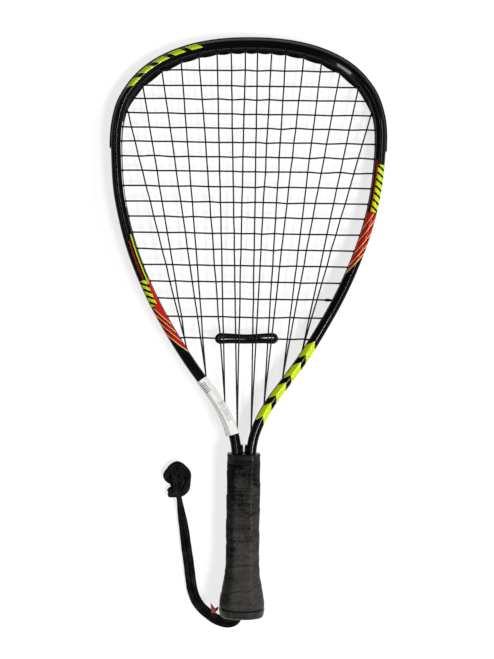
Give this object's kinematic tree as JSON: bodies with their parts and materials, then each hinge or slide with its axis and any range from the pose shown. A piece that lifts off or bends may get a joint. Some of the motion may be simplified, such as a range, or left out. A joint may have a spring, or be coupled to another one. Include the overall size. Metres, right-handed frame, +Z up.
{
  "type": "racquetball racket",
  "caption": "Strung racquetball racket with a teardrop hoop, head bumper, string dampener, wound octagonal grip, butt cap and a knotted wrist lanyard, lying flat.",
  "frame": {"origin": "on the table, under the middle of the racket's own box (the lanyard's strands and knot are left out of that box)", "axes": "+Y from the butt end to the tip of the head, +Z up from the table, +X to the right as seen from above with the head away; the string face is tipped 1.15 degrees, because the racket rests on its butt flare and the tip of its head"},
  "size_m": [0.266, 0.5701, 0.0418],
  "materials": {
    "frame_paint": "glossy black paint over a moulded composite tube",
    "bumper_plastic": "satin moulded nylon",
    "string_nylon": "black extruded nylon",
    "dampener_rubber": "satin rubber",
    "core_foam": "dense moulded foam",
    "cap_plastic": "satin moulded plastic",
    "tack_steel": "plain steel",
    "grip_rubber": "tacky wound tape with worn sheen",
    "tape_vinyl": "vinyl tape",
    "collar_rubber": "smooth rubber",
    "cord_fabric": "braided cord",
    "label_paper": "plain coated paper",
    "tag_red": "thin red card"
  },
  "bodies": {
    "root": {"frame_tube": "frame_paint", "head_bumper": "bumper_plastic", "grommet_strip_left": "bumper_plastic", "grommet_strip_right": "bumper_plastic", "main_string": "string_nylon", "cross_string": "string_nylon", "vibration_dampener": "dampener_rubber", "handle_core_top": "core_foam", "handle_core_bottom": "core_foam", "butt_cap": "cap_plastic", "butt_door": "cap_plastic", "cap_tack_top": "tack_steel", "cap_tack_bottom": "tack_steel", "lanyard_anchor": "cord_fabric", "grip_wrap": "grip_rubber", "finishing_tape": "tape_vinyl", "grip_collar": "collar_rubber", "throat_pad_left": "collar_rubber", "throat_pad_right": "collar_rubber", "shaft_label": "label_paper", "tag_end": "tag_red", "lanyard_strand_inner": "cord_fabric", "lanyard_strand_outer": "cord_fabric", "lanyard_knot": "cord_fabric"}
  },
  "joints": []
}
